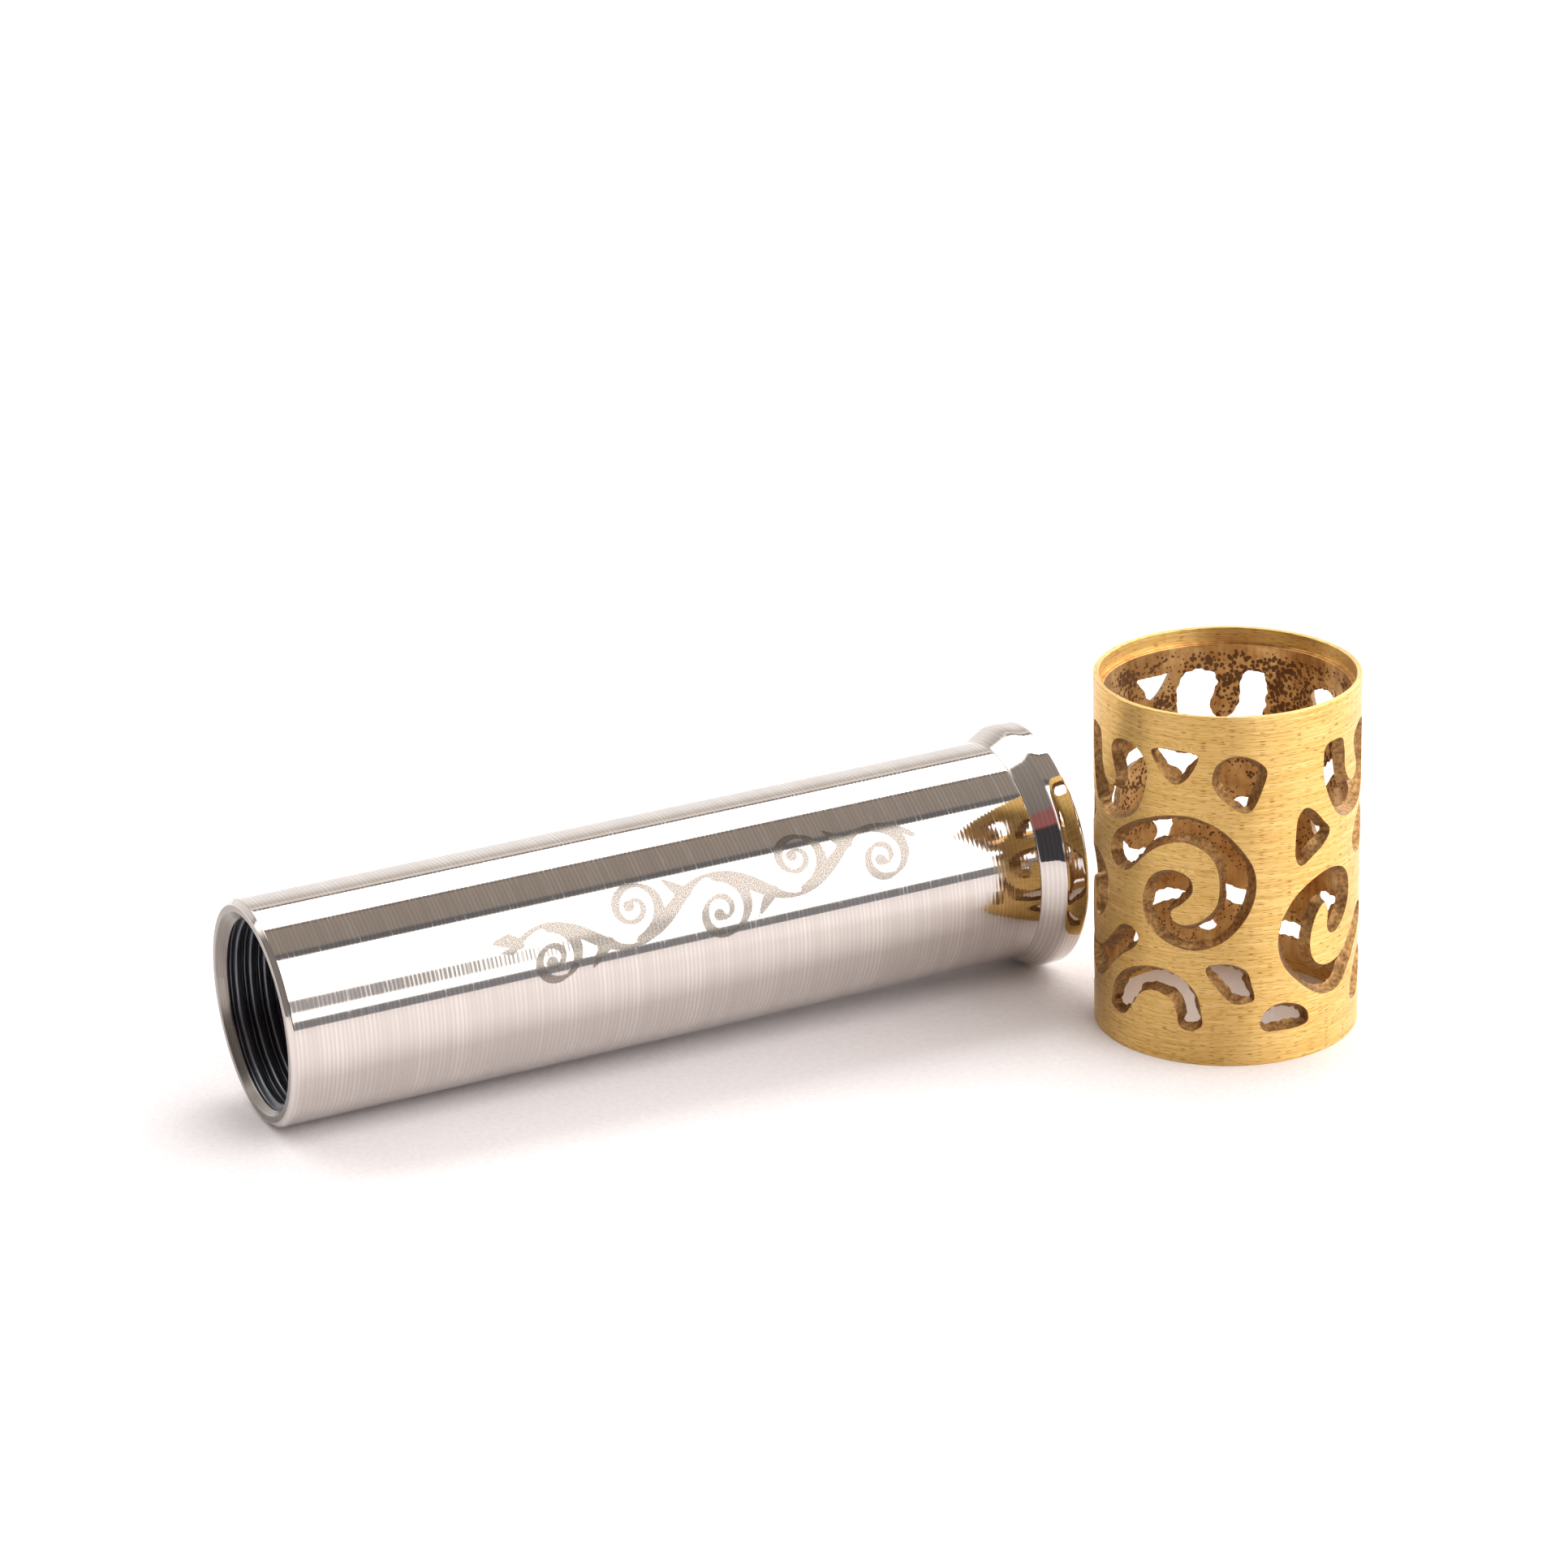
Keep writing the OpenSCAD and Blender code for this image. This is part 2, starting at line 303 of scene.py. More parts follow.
def make_cap(finishes):
    """Cap: an open profile from the spigot's nose to the flare's end face, turned round the
    capsule's line and closed at both ends on the line itself. The spigot's rows are cut by a
    shallow helical groove."""
    n = CAPSULE_COLUMNS
    nose = eased([[1.0, SPIGOT_FROM], [SPIGOT_R - 0.6, SPIGOT_FROM],
                  [SPIGOT_R, SPIGOT_FROM + 0.6], [SPIGOT_R, SPIGOT_FROM + 1.0]], 0.1)
    spigot_x = np.arange(SPIGOT_FROM + 1.1, NECK_FROM - 0.2, 0.1)
    spigot = np.stack([np.full(spigot_x.shape, SPIGOT_R), spigot_x], 1)
    neck = eased([[SPIGOT_R, NECK_FROM - 0.15], [SPIGOT_R, NECK_FROM], [NECK_R, NECK_FROM],
                  [NECK_R, BARREL_LEN], [BARREL_R, BARREL_LEN], [FLARE_R, LAND_FROM],
                  [FLARE_R, CAPSULE_LEN - FLARE_ROUND]], [0.07, 0.07, 0.07, 0.14, 0.8])
    bend = np.linspace(0, np.pi / 2, 9)
    rounding = np.stack([FLARE_R - FLARE_ROUND + FLARE_ROUND * np.cos(bend),
                         CAPSULE_LEN - FLARE_ROUND + FLARE_ROUND * np.sin(bend)], 1)
    face = np.array([[FLARE_R - FLARE_ROUND - 0.1, CAPSULE_LEN], [8.0, CAPSULE_LEN],
                     [1.0, CAPSULE_LEN]])
    before = [[FLARE_R, CAPSULE_LEN - FLARE_ROUND - 0.1]]
    profile = np.vstack([nose, spigot, neck[:-1], before, rounding, face])
    r, x = profile[:, 0], profile[:, 1]
    angle = np.arange(n) * 2 * np.pi / n
    grid_x, grid_a = np.meshgrid(x, angle, indexing="ij")
    cut = fade(grid_x, SPIGOT_FROM + 0.2, SPIGOT_FROM + 0.8)
    cut = cut * (1 - fade(grid_x, NECK_FROM - 1.2, NECK_FROM - 0.5))
    deep = groove_depth(grid_x, grid_a, 0.3, SPIGOT_R, SPIGOT_ROOT)
    groove = cut * np.minimum(deep, SPIGOT_GROOVE)
    on_spigot = (np.arange(len(x)) >= 3) & (np.arange(len(x)) < len(nose) + len(spigot))
    radius = r[:, None] - np.where(on_spigot[:, None], groove, 0)
    points = capsule_point(radius, grid_x, grid_a).reshape(-1, 3)
    quads, ci, cj = grid_quads(len(x), n, False)
    ends = capsule_point(np.zeros(2), np.array([x[0], x[-1]]), np.zeros(2))
    points = np.vstack([points, ends])
    j = np.arange(n)
    low = np.stack([np.full(n, len(points) - 2), (j + 1) % n, j], 1)
    base = (len(x) - 1) * n
    high = np.stack([np.full(n, len(points) - 1), base + j, base + (j + 1) % n], 1)
    closed = np.vstack([quads, low[:, [0, 1, 2, 2]], high[:, [0, 1, 2, 2]]])
    uv_quads = np.stack([cj * 2 * np.pi / n * BARREL_R, x[ci]], 2)
    step = 2 * np.pi / n * BARREL_R
    low_uv, high_uv = (
        np.stack([np.stack([(j + share) * step, np.full(n, end)], 1) for share in shares], 1)
        for end, shares in ((x[0], (0.5, 1, 0)), (x[-1], (0.5, 0, 1))))
    if not outward(points, closed):
        quads, uv_quads = quads[:, ::-1], uv_quads[:, ::-1]
        low, high = low[:, ::-1], high[:, ::-1]
        low_uv, high_uv = low_uv[:, ::-1], high_uv[:, ::-1]
    uv = np.concatenate([uv_quads.reshape(-1, 2), low_uv.reshape(-1, 2), high_uv.reshape(-1, 2)])
    faces = quads.tolist() + low.tolist() + high.tolist()
    row = np.concatenate([ci.min(1), np.zeros(n, int), np.full(n, len(x))])
    finish_of = (row < len(nose) + len(spigot) + 12).astype(int)
    mesh_piece("cap_flared", points, faces, uv, finishes, finish_of,
               "cap", "flared_cap")


# ---- the sleeve's windows: arc length from the front line, height, in mm ----
HOOKED = [[10.6, 31.3], [10.9, 32.9], [12.2, 33.25], [13.6, 33.0], [14.05, 31.6],
          [14.2, 29.7], [15.1, 28.2], [16.4, 27.95], [17.0, 29.1], [16.5, 30.6],
          [16.15, 31.8], [16.8, 32.9], [18.4, 33.4], [20.3, 32.9], [21.4, 31.3],
          [21.3, 29.2], [20.5, 26.9], [19.3, 25.5], [17.2, 24.6], [14.8, 24.4],
          [12.9, 25.2], [11.6, 27.1], [10.8, 29.3]]
WEDGE = [[-7.9, 33.2], [-6.4, 33.6], [-4.2, 33.6], [-2.85, 33.2], [-3.2, 32.0],
         [-4.1, 30.6], [-5.2, 30.0], [-6.4, 30.6], [-7.4, 31.9]]
PEBBLE = [[-1.45, 30.9], [-0.9, 32.5], [0.7, 33.35], [2.6, 33.0], [4.0, 31.7],
          [3.6, 29.8], [2.7, 27.8], [1.7, 27.3], [0.1, 28.3], [-1.1, 29.6]]
KITE = [[7.45, 26.1], [8.3, 27.0], [9.4, 26.5], [10.7, 25.1], [11.65, 23.9],
        [10.9, 22.7], [9.2, 21.6], [7.9, 20.9], [7.2, 21.9], [7.2, 24.1]]
BIG_CURL = [[-13.9, 21.3], [-13.1, 22.9], [-11.4, 24.3], [-8.8, 25.7], [-6.0, 26.6],
            [-3.2, 26.7], [-0.5, 25.5], [1.6, 23.3], [2.85, 21.0], [2.9, 18.3],
            [1.8, 15.7], [-0.3, 13.5], [-3.0, 12.45], [-5.8, 12.8], [-8.0, 14.1],
            [-8.95, 16.0], [-8.7, 18.3], [-7.5, 20.1], [-5.5, 20.85], [-3.7, 20.2],
            [-3.4, 18.7], [-4.5, 17.3], [-5.6, 16.4], [-5.4, 15.4], [-4.1, 15.1],
            [-2.4, 15.8], [-1.0, 17.3], [-0.65, 19.5], [-1.0, 21.7], [-2.2, 23.2],
            [-4.2, 23.95], [-6.4, 23.4], [-8.2, 22.2], [-9.7, 20.7], [-11.1, 19.5],
            [-12.6, 19.4], [-13.6, 20.2]]
SMALL_CURL = [[6.2, 16.3], [7.3, 17.8], [9.3, 19.1], [11.6, 19.7], [13.8, 19.2],
              [15.1, 17.8], [15.3, 15.8], [14.6, 14.1], [13.3, 12.8], [12.1, 12.55],
              [11.4, 13.4], [11.5, 15.0], [11.0, 16.2], [10.0, 15.4], [9.3, 13.8],
              [9.1, 11.8], [9.7, 10.2], [11.1, 9.4], [12.9, 9.5], [14.4, 10.3],
              [16.0, 11.8], [17.4, 13.2], [18.9, 13.6], [20.0, 12.8], [19.6, 11.5],
              [17.6, 10.0], [15.6, 8.1], [13.8, 6.5], [11.8, 6.1], [9.7, 6.8],
              [7.7, 8.4], [6.0, 10.4], [5.35, 12.6], [5.5, 14.7]]
ARCH = [[-13.8, 4.6], [-13.2, 6.6], [-11.9, 8.2], [-9.8, 9.45], [-7.2, 10.0],
        [-4.7, 9.4], [-3.0, 7.8], [-2.45, 5.8], [-2.4, 4.3], [-3.5, 3.65],
        [-4.7, 4.0], [-5.05, 5.5], [-5.8, 6.9], [-7.6, 7.35], [-9.2, 6.7],
        [-10.3, 5.2], [-11.4, 3.8], [-12.7, 3.5], [-13.6, 3.9]]
LOW_PEBBLE = [[-2.0, 10.5], [-1.2, 11.05], [0.6, 11.1], [2.1, 10.3], [2.6, 8.8],
              [2.9, 7.3], [2.2, 6.85], [0.7, 6.85], [-0.4, 7.9], [-1.6, 9.4]]
HALF_MOON = [[3.5, 4.6], [4.2, 5.9], [5.6, 6.45], [7.4, 6.1], [8.7, 5.1],
             [8.9, 3.9], [7.7, 3.5], [5.6, 3.5], [4.0, 3.65]]
# each outline, and how far round the sleeve each of its three copies sits
WINDOWS = [(HOOKED, [0, 27.1, 54.93]), (WEDGE, [0, 29.85, 56.7]), (PEBBLE, [0, 28.65, 56.8]),
           (KITE, [0, 28.3, 55.13]), (BIG_CURL, [0, 30, 57.1]), (SMALL_CURL, [0, 28.3, 55.23]),
           (ARCH, [0, 29.8, 57.0]), (LOW_PEBBLE, [0, 29, 57.0]), (HALF_MOON, [0, 28.6, 56.3])]


def smooth_loop(chosen, spacing):
    """Closed Catmull-Rom curve through the chosen points, resampled at an even spacing and
    running anticlockwise as seen from outside."""
    p = np.asarray(chosen, float)
    a, b, c, d = (np.roll(p, k, 0)[:, None] for k in (1, 0, -1, -2))
    t = np.linspace(0, 1, 24, endpoint=False)[None, :, None]
    curve = 0.5 * (2 * b + (c - a) * t + (2 * a - 5 * b + 4 * c - d) * t ** 2
                   + (3 * b - a - 3 * c + d) * t ** 3)
    curve = curve.reshape(-1, 2)
    closed = np.vstack([curve, curve[:1]])
    run = np.concatenate([[0], np.cumsum(np.hypot(*np.diff(closed, axis=0).T))])
    count = max(12, int(round(run[-1] / spacing)))
    at = np.linspace(0, run[-1], count, endpoint=False)
    loop = np.stack([np.interp(at, run, closed[:, 0]), np.interp(at, run, closed[:, 1])], 1)
    x, y = loop.T
    area = (x * np.roll(y, -1) - np.roll(x, -1) * y).sum()
    return loop if area > 0 else loop[::-1]


def even_out(values, times):
    """Closed running average of three neighbours, repeated."""
    for _ in range(times):
        values = (np.roll(values, 1) + 2 * values + np.roll(values, -1)) / 4
    return values


def inset_loops(loop, rng, taper):
    """Loops set in from an outline, from the outside of the wall to its inside. Each point
    moves along the inward normal by a share of the taper; the taper is held to under half of
    the window's width there, and the eaten edge is ragged by a few hundredths of a mm."""
    ahead = np.roll(loop, -1, 0) - np.roll(loop, 1, 0)
    ahead /= np.linalg.norm(ahead, axis=1, keepdims=True)
    inward = np.stack([-ahead[:, 1], ahead[:, 0]], 1)
    gap = loop[None] - loop[:, None]
    far = np.hypot(gap[..., 0], gap[..., 1])
    faces = np.einsum("ijk,ik->ij", gap, inward) > 0.5 * far
    width = np.where(faces & (far > 1e-6), far, 9.0).min(1)
    most = np.minimum(taper, 0.4 * width)
    most = np.minimum(most, even_out(most, 14))
    rough = even_out(rng.normal(size=len(loop)), 1) * 0.13
    rough += even_out(rng.normal(size=len(loop)), 12) * 0.2
    ragged = np.clip(rough, -0.14, 0.14) * np.minimum(1, most / taper)
    steps = [(0.0, 0.0, 0.0), (0.03, 0.0, 0.05), (0.07, 0.2, 0.35), (0.0, 0.55, 0.7),
             (0.0, 1.0, 1.0)]
    loops = []
    for base, share, depth in steps:
        move = np.minimum(base + share * (most + ragged), 0.45 * width)
        loops.append((loop + inward * np.maximum(move, 0)[:, None], depth))
    return loops


def inside_loop(points, loop):
    """True for each point inside a closed loop, by counting the edges a ray crosses."""
    x, y = points[:, 0][:, None], points[:, 1][:, None]
    ax, ay = loop.T
    bx, by = np.roll(loop, -1, 0).T
    crosses = (ay > y) != (by > y)
    at = ax + (y - ay) / np.where(by == ay, 1e-12, by - ay) * (bx - ax)
    return (crosses & (x < at)).sum(1) % 2 == 1


def wrapped(arc, middle):
    """Arc lengths brought within half a turn of a middle."""
    full = 2 * np.pi * SLEEVE_R
    return (arc - middle + full / 2) % full - full / 2 + middle


def skin(loops, low, high, columns, spacing):
    """Triangles of the sleeve's wall between two heights, with the loops cut out of it. The
    wall is laid on a plane by angle and exp(height / radius), which keeps its angles and has
    no seam, and joined by a constrained Delaunay net. Returns the points (arc, height) and
    the triangles anticlockwise from outside."""
    arc = np.arange(columns) * 2 * np.pi * SLEEVE_R / columns
    rims = np.vstack([np.stack([arc, np.full(columns, h)], 1) for h in (low, high)])
    rows = np.arange(low + 0.55, high - 0.4, spacing)
    ga, gh = np.meshgrid(np.arange(0, 2 * np.pi * SLEEVE_R - spacing / 2, spacing), rows)
    ga = ga + (np.arange(len(rows)) % 2)[:, None] * spacing / 2
    inner = np.stack([ga.ravel(), gh.ravel()], 1)
    for loop in loops:
        middle = loop[:, 0].mean()
        local = np.stack([wrapped(inner[:, 0], middle), inner[:, 1]], 1)
        near = np.abs(local[:, 0] - middle) < 12
        gap = np.full(len(inner), 9.0)
        gap[near] = np.hypot(local[near, 0][:, None] - loop[:, 0],
                             local[near, 1][:, None] - loop[:, 1]).min(1)
        inner = inner[(gap > 0.3) & ~inside_loop(local, loop)]
    points = np.vstack([rims] + list(loops) + [inner])
    ring = np.arange(columns)
    edges = [np.stack([ring, (ring + 1) % columns], 1),
             np.stack([ring, (ring + 1) % columns], 1) + columns]
    start = 2 * columns
    for loop in loops:
        k = np.arange(len(loop))
        edges.append(np.stack([k, (k + 1) % len(loop)], 1) + start)
        start += len(loop)
    angle = points[:, 0] / SLEEVE_R
    reach = np.exp((points[:, 1] - 18) / SLEEVE_R)
    flat = np.stack([reach * np.cos(angle), reach * np.sin(angle)], 1)
    found = delaunay_2d_cdt([Vector(p) for p in flat], np.vstack(edges).tolist(), [], 0, 1e-9)
    back = np.array([o[0] if o else -1 for o in found[3]])
    tris = back[np.array(found[2])]
    if tris.min() < 0:
        raise ValueError("two window outlines cross")
    corners = points[tris]
    base = corners[:, :1, 0]
    arcs = wrapped(corners[..., 0], base)
    centre = np.stack([arcs.mean(1), corners[..., 1].mean(1)], 1)
    keep = (centre[:, 1] > low) & (centre[:, 1] < high)
    tall = corners[..., 1].max(1) - corners[..., 1].min(1)
    keep &= ~((np.ptp(arcs, axis=1) < 1e-9) | (tall < 1e-9))
    for loop in loops:
        middle = loop[:, 0].mean()
        local = np.stack([wrapped(centre[:, 0], middle), centre[:, 1]], 1)
        keep &= ~inside_loop(local, loop)
    return points, tris[keep][:, ::-1]


def make_sleeve(finishes):
    """Sleeve: an outer and an inner skin with the windows cut out, joined by the windows'
    etched walls and by the turned rims with their counterbores. The skins keep the true
    cylinder's normals. Finishes: brushed outside, etched walls, stained inside."""
    rng = np.random.default_rng(SLEEVE_SEED)
    columns = SLEEVE_COLUMNS
    stacks = []
    for outline, shifts in WINDOWS:
        loop = smooth_loop(outline, LOOP_SPACING)
        for k, shift in enumerate(shifts):
            taper = STEEP_TAPER if (outline is HOOKED and k == 1) else WALL_TAPER
            stacks.append([(one + [shift, 0], depth) for one, depth in
                           inset_loops(loop, rng, taper)])
    wall = SLEEVE_R - BORE_R
    top = SLEEVE_H
    rim = eased([[SLEEVE_R, top - 0.3], [SLEEVE_R, top], [SOCKET_R, top],
                 [SOCKET_R, top - SOCKET_DEEP], [BORE_R, top - SOCKET_DEEP],
                 [BORE_R, top - SOCKET_DEEP - 0.3]], 0.07)
    outer, outer_tris = skin([s[0][0] for s in stacks], 0.3, top - 0.3, columns, 0.7)
    inner, inner_tris = skin([s[-1][0] for s in stacks], SOCKET_DEEP + 0.3,
                             top - SOCKET_DEEP - 0.3, columns, 0.9)

    def place(arc, height, radius):
        """Point on the sleeve at an arc length from the front line, a height and a radius."""
        a = FRONT + np.asarray(arc) / SLEEVE_R
        radius = np.broadcast_to(radius, a.shape)
        return np.stack([radius * np.cos(a), radius * np.sin(a),
                         np.broadcast_to(height, a.shape)], 1)

    points = [place(outer[:, 0], outer[:, 1], SLEEVE_R), place(inner[:, 0], inner[:, 1], BORE_R)]
    sheet = [outer, inner]
    count = len(outer) + len(inner)
    tris = [outer_tris, inner_tris[:, ::-1] + len(outer)]
    quads, quad_finish = [], []
    start = 2 * columns
    for stack in stacks:
        n = len(stack[0][0])
        rings = [np.arange(n) + start]
        for loop, depth in stack[1:-1]:
            points.append(place(loop[:, 0], loop[:, 1], SLEEVE_R - depth * wall))
            sheet.append(loop)
            rings.append(np.arange(n) + count)
            count += n
        rings.append(np.arange(n) + start + len(outer))
        start += n
        for a, b in zip(rings[:-1], rings[1:]):
            quads.append(np.stack([a, np.roll(a, -1), np.roll(b, -1), b], 1))
            quad_finish.append(np.full(n, 1))
    ring = np.arange(columns)
    arc = ring * 2 * np.pi * SLEEVE_R / columns
    for end in (0, 1):
        rings = [ring + end * columns]
        for r, z in rim[1:-1]:
            height = z if end else top - z
            points.append(place(arc, height, r))
            unrolled = height + (SLEEVE_R - r) * (1 if end else -1)
            sheet.append(np.stack([arc, np.full(columns, unrolled)], 1))
            rings.append(ring + count)
            count += columns
        rings.append(ring + len(outer) + end * columns)
        for k, (a, b) in enumerate(zip(rings[:-1], rings[1:])):
            strip = np.stack([a, np.roll(a, -1), np.roll(b, -1), b], 1)
            quads.append(strip if end else strip[:, ::-1])
            quad_finish.append(np.full(columns, 0 if k < len(rim) // 2 else 2))
    points, sheet = np.vstack(points), np.vstack(sheet)
    tris, quads = np.vstack(tris), np.vstack(quads)
    tri_uv, quad_uv = sheet[tris], sheet[quads]
    tri_uv[..., 0] = wrapped(tri_uv[..., 0], tri_uv[:, :1, 0])
    quad_uv[..., 0] = wrapped(quad_uv[..., 0], quad_uv[:, :1, 0])
    uv = np.concatenate([tri_uv.reshape(-1, 2), quad_uv.reshape(-1, 2)])
    finish_of = np.concatenate([np.zeros(len(outer_tris), int), np.full(len(inner_tris), 2),
                                np.concatenate(quad_finish)])
    mesh = mesh_piece("sleeve_pierced", points, tris.tolist() + quads.tolist(), uv, finishes,
                      finish_of, "sleeve", "pierced_sleeve").data
    mesh.set_sharp_from_angle(angle=math.radians(32))
    mesh.update()
    normals = np.zeros(len(mesh.loops) * 3, np.float32)
    mesh.corner_normals.foreach_get("vector", normals)
    normals = normals.reshape(-1, 3)
    on_skin = tris.ravel()
    radial = points[on_skin] * [1, 1, 0]
    radial /= np.linalg.norm(radial, axis=1, keepdims=True)
    radial[len(outer_tris) * 3:] *= -1
    normals[:len(on_skin)] = radial
    mesh.normals_split_custom_set(normals.tolist())


# ---- finishes ----
def new_finish(name):
    """An empty material of that name, and the function that adds a node to it."""
    made = bpy.data.materials.new(name)
    made.use_nodes = True
    tree = made.node_tree
    tree.nodes.clear()
    return made, partial(add, tree)


def polished_steel(engraved):
    """Stainless steel, turned and then buffed: a near mirror with the tool's fine rings still
    in it, 0.45 mm apart, faint hairlines, and on the barrel a matt laser-frosted scroll."""
    made, node = new_finish("stainless_steel_turned_polished")
    place = node("UVMap", {}, uv_map="around_along")
    rings = node("TexWave", {"Vector": node("Mapping", {"Vector": place, "Scale": (25, 698, 1)}),
                             "Scale": 1.0, "Distortion": 2.2, "Detail": 2.0},
                 wave_type="BANDS", bands_direction="Y")
    strong = node("TexNoise", {"Vector": node("Mapping", {"Vector": place, "Scale": (50, 90, 1)}),
                               "Scale": 1.0})
    uneven = node("TexNoise", {"Vector": node("Mapping", {"Vector": place,
                                                          "Scale": (35, 650, 1)}), "Scale": 1.0})
    cut = node("Math", {0: rings.outputs["Fac"],
                        1: node("MapRange", {0: uneven, 1: 0.35, 2: 0.65, 3: 0.2, 4: 1.0})},
               operation="MULTIPLY")
    fine = node("TexNoise", {"Vector": node("Mapping", {"Vector": place,
                                                        "Scale": (30, 5200, 1)}), "Scale": 1.0})
    hairs = node("TexNoise", {"Vector": node("Mapping", {"Vector": place,
                                                         "Scale": (260, 5200, 1)}),
                              "Scale": 1.0, "Detail": 0.0})
    hair = node("MapRange", {0: hairs, 1: 0.70, 2: 0.74, 3: 0.0, 4: 1.0})
    tone = node("Mix", {0: 0.35, 2: cut, 3: fine}, data_type="FLOAT")
    base = node("Mix", {0: tone, 6: colour("#C2BAB4"), 7: colour("#E0DAD5")}, data_type="RGBA")
    rough = node("MapRange", {0: strong, 1: 0.3, 2: 0.7, 3: 0.05, 4: 0.08})
    rough = node("Math", {0: hair, 1: 0.10, 2: rough}, operation="MULTIPLY_ADD")
    if engraved:
        edge = node("Attribute", {}, attribute_name="scroll_mm").outputs["Fac"]
        grain = node("TexNoise", {"Vector": node("Mapping", {"Vector": place,
                                                             "Scale": (9000, 9000, 1)}),
                                  "Scale": 1.0})
        edge = node("Math", {0: grain, 1: 0.12, 2: edge}, operation="MULTIPLY_ADD")
        mark = node("MapRange", {0: edge, 1: 0.03, 2: 0.11, 3: 1.0, 4: 0.0})
        frosted = node("Mix", {0: node("MapRange", {0: grain, 1: 0.35, 2: 0.65}),
                               6: colour("#655E58"), 7: colour("#A39A93")}, data_type="RGBA")
        base = node("Mix", {0: mark, 6: base, 7: frosted}, data_type="RGBA")
        rough = node("Math", {0: mark, 1: 0.12, 2: rough}, operation="MULTIPLY_ADD")
    bump = node("Bump", {"Strength": 1.0, "Distance": 0.000003, "Height": tone})
    way = node("Tangent", {}, direction_type="UV_MAP", uv_map="around_along")
    metal = node("BsdfPrincipled", {"Base Color": base, "Metallic": 1.0, "Roughness": rough,
                                    "Anisotropic": 0.5, "Anisotropic Rotation": 0.25,
                                    "Tangent": way, "Normal": bump})
    node("OutputMaterial", {0: metal})
    return made


def turned_steel(name, dark, light, roughness, pitch):
    """Stainless steel left as the tool cut it, with rings a pitch apart in mm and a little dried
    cutting oil in patches: greyer and softer than the buffed outside. Bored and tapped inside,
    it is given a dark grey that is painted shade for the inside of the barrel; faced and
    countersunk at the mouth it is brighter."""
    made, node = new_finish(name)
    place = node("UVMap", {}, uv_map="around_along")
    rings = node("TexNoise", {"Vector": node("Mapping", {"Vector": place,
                                                         "Scale": (20, 1000 / pitch, 1)}),
                              "Scale": 1.0, "Detail": 1.0})
    stain = node("TexNoise", {"Vector": node("Mapping", {"Vector": place,
                                                         "Scale": (160, 500, 1)}),
                              "Scale": 1.0})
    base = node("Mix", {0: rings, 6: dark, 7: light}, data_type="RGBA")
    base = node("Mix", {0: node("MapRange", {0: stain, 1: 0.4, 2: 0.7, 3: 0.0, 4: 0.5}),
                        6: base, 7: dark}, data_type="RGBA")
    bump = node("Bump", {"Strength": 0.4, "Distance": 0.000004, "Height": rings})
    metal = node("BsdfPrincipled", {"Base Color": base, "Metallic": 1.0,
                                    "Roughness": roughness, "Normal": bump})
    node("OutputMaterial", {0: metal})
    return made


def brushed_brass():
    """Brass tube brushed round with fine abrasive: satin gold whose highlight spreads up and
    down, with hair-fine lines round it and short darker scores up to 1 mm long."""
    made, node = new_finish("brass_brushed")
    place = node("UVMap", {}, uv_map="around_along")
    lines = node("TexNoise", {"Vector": node("Mapping", {"Vector": place,
                                                         "Scale": (160, 9000, 1)}),
                              "Scale": 1.0})
    broad = node("TexNoise", {"Vector": node("Mapping", {"Vector": place,
                                                         "Scale": (90, 2600, 1)}),
                              "Scale": 1.0})
    scores = node("TexNoise", {"Vector": node("Mapping", {"Vector": place,
                                                          "Scale": (1000, 12000, 1)}),
                               "Scale": 1.0, "Detail": 0.0})
    score = node("MapRange", {0: scores, 1: 0.645, 2: 0.70, 3: 0.0, 4: 0.75})
    patch = node("TexNoise", {"Vector": node("Mapping", {"Vector": place,
                                                         "Scale": (140, 110, 1)}),
                              "Scale": 1.0, "Detail": 3.0})
    tone = node("Mix", {0: 0.4, 2: lines, 3: broad}, data_type="FLOAT")
    base = node("Mix", {0: node("MapRange", {0: tone, 1: 0.33, 2: 0.67}),
                        6: colour("#CDA052"), 7: colour("#F2D08B")}, data_type="RGBA")
    base = node("Mix", {0: node("MapRange", {0: patch, 1: 0.45, 2: 0.75, 3: 0.0, 4: 0.25}),
                        6: base, 7: colour("#CBA055")}, data_type="RGBA")
    base = node("Mix", {0: score, 6: base, 7: colour("#94652F")}, data_type="RGBA")
    rough = node("MapRange", {0: tone, 1: 0.3, 2: 0.7, 3: 0.37, 4: 0.46})
    bump = node("Bump", {"Strength": 0.8, "Distance": 0.000007, "Height": tone})
    way = node("Tangent", {}, direction_type="UV_MAP", uv_map="around_along")
    metal = node("BsdfPrincipled", {"Base Color": base, "Metallic": 1.0, "Roughness": rough,
                                    "Anisotropic": 0.85, "Anisotropic Rotation": 0.25,
                                    "Tangent": way, "Normal": bump})
    node("OutputMaterial", {0: metal})
    return made


def etched_brass():
    """Brass eaten through by acid: matt brown-gold, finely pitted, with a dull oxide on it."""
    made, node = new_finish("brass_acid_etched_edge")
    where = node("TexCoord", {}).outputs["Object"]
    pits = node("TexNoise", {"Vector": where, "Scale": 2600.0, "Detail": 3.0})
    base = node("Mix", {0: node("MapRange", {0: pits, 1: 0.35, 2: 0.65}),
                        6: colour("#7A5533"), 7: colour("#A98350")}, data_type="RGBA")
    bump = node("Bump", {"Strength": 0.5, "Distance": 0.00003, "Height": pits})
    metal = node("BsdfPrincipled", {"Base Color": base, "Metallic": 0.8, "Roughness": 0.42,
                                    "Normal": bump})
    node("OutputMaterial", {0: metal})
    return made


